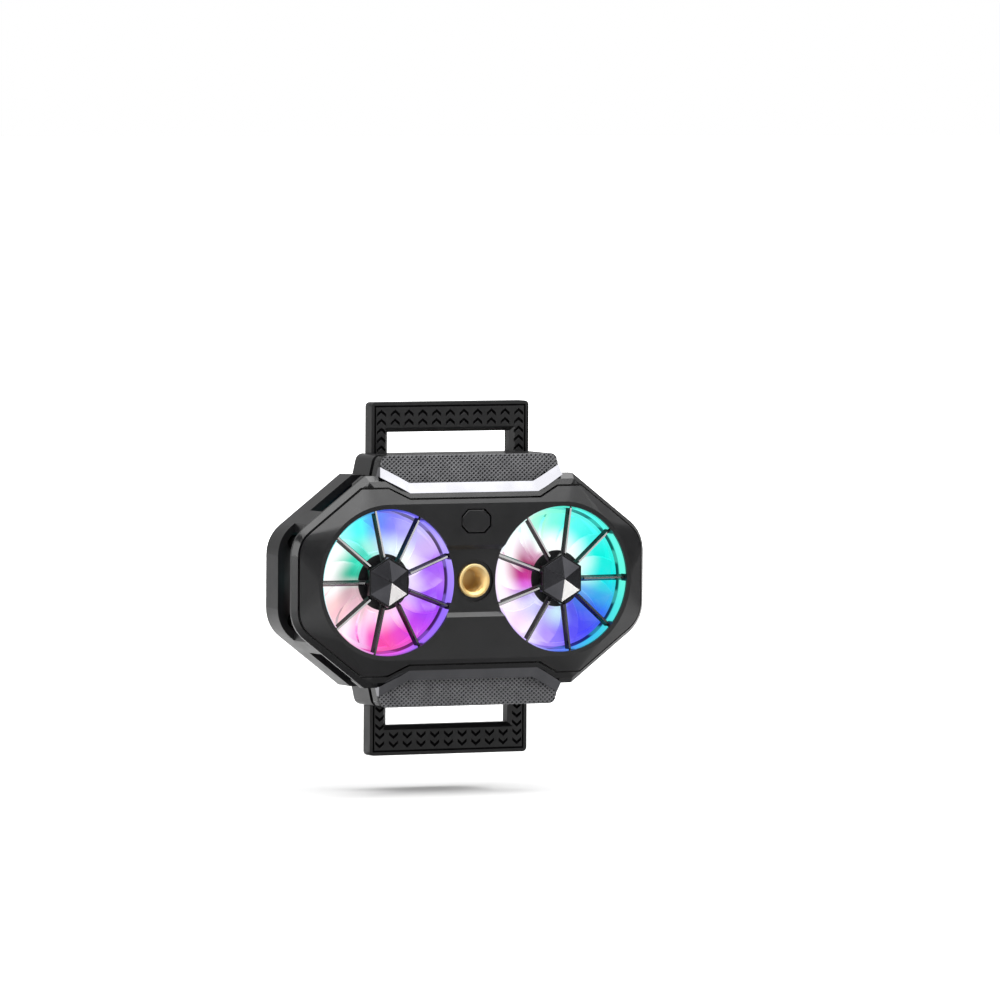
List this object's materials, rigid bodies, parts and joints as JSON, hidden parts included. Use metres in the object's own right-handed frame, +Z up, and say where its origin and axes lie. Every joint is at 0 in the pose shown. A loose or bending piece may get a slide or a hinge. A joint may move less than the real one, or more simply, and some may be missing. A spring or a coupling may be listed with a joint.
{
  "type": "phone cooling fan",
  "caption": "Clip-on phone cooler: lit fans behind spoked grilles in a faceted casing, with a cold plate at the back, sprung clamp arms, a tripod thread and a push button.",
  "frame": {"origin": "middle of the cold face that lies on the phone's back", "axes": "+Y out of the cold face towards the phone, +X along the body's width, +Z up towards the upper clamp arm"},
  "size_m": [0.0876, 0.0299, 0.0788],
  "materials": {
    "casing": "satin black",
    "fascia": "satin black",
    "rear_casing": "satin black",
    "black_screw": "black",
    "gloss_black": "gloss black",
    "hub_cap": "satin dark grey",
    "light_ring": "translucent, lit",
    "led_board": "white board with LEDs",
    "frame_black": "black",
    "impeller": "translucent white, lit",
    "magnet": "dull",
    "steel": "bright",
    "copper": "enamelled copper",
    "bronze": "sintered bronze",
    "grip": "diamond textured",
    "brass": "turned brass",
    "button": "satin black",
    "switch": "grey",
    "board": "green solder mask",
    "aluminium": "plain",
    "ceramic": "white",
    "thermal_pad": "blue-grey silicone",
    "arm": "matte black",
    "rubber": "dark grey"
  },
  "bodies": {
    "housing": {"front_cover": "casing", "fascia": "fascia", "rear_housing": "rear_casing", "back_plate": "rear_casing", "case_screws": "black_screw", "left_grille": "gloss_black", "right_grille": "gloss_black", "left_hub_cap": "hub_cap", "right_hub_cap": "hub_cap", "left_light_ring": "light_ring", "right_light_ring": "light_ring", "left_led_board": "led_board", "right_led_board": "led_board", "left_fan_frame": "frame_black", "right_fan_frame": "frame_black", "usb_socket": "steel", "upper_springs": "steel", "lower_springs": "steel", "left_stator": "copper", "right_stator": "copper", "left_bearing": "bronze", "right_bearing": "bronze", "upper_grip_pad": "grip", "lower_grip_pad": "grip", "tripod_insert": "brass", "button_switch": "switch", "control_board": "board", "power_board": "board", "heat_sink": "aluminium", "cold_plate": "aluminium", "peltier_module": "ceramic", "thermal_pad": "thermal_pad"},
    "left_rotor": {"left_impeller": "impeller", "left_rotor_hub": "frame_black", "left_magnet": "magnet", "left_shaft": "steel"},
    "right_rotor": {"right_impeller": "impeller", "right_rotor_hub": "frame_black", "right_magnet": "magnet", "right_shaft": "steel"},
    "upper_clamp": {"upper_arm": "arm", "upper_hook_pad": "rubber"},
    "lower_clamp": {"lower_arm": "arm", "lower_hook_pad": "rubber"},
    "button": {"power_button": "button"}
  },
  "joints": [
    {"name": "left_fan_spin", "type": "hinge", "parent": "housing", "child": "left_rotor", "pos_m": [-0.0215, -0.0128, 0], "axis": [0, 1, 0], "continuous": true},
    {"name": "right_fan_spin", "type": "hinge", "parent": "housing", "child": "right_rotor", "pos_m": [0.0215, -0.0128, 0], "axis": [0, 1, 0], "continuous": true},
    {"name": "upper_arm_slide", "type": "slide", "parent": "housing", "child": "upper_clamp", "axis": [0, 0, 1], "range_m": [-0.004, 0.0082], "stiffness_N_per_m": 150, "springref_m": -0.012, "deforming": ["upper_springs"]},
    {"name": "lower_arm_slide", "type": "slide", "parent": "housing", "child": "lower_clamp", "axis": [0, 0, -1], "range_m": [-0.004, 0.0082], "stiffness_N_per_m": 150, "springref_m": -0.012, "deforming": ["lower_springs"]},
    {"name": "button_press", "type": "slide", "parent": "housing", "child": "button", "axis": [0, 1, 0], "range_m": [0, 0.0006], "stiffness_N_per_m": 600, "springref_m": -0.0004}
  ]
}
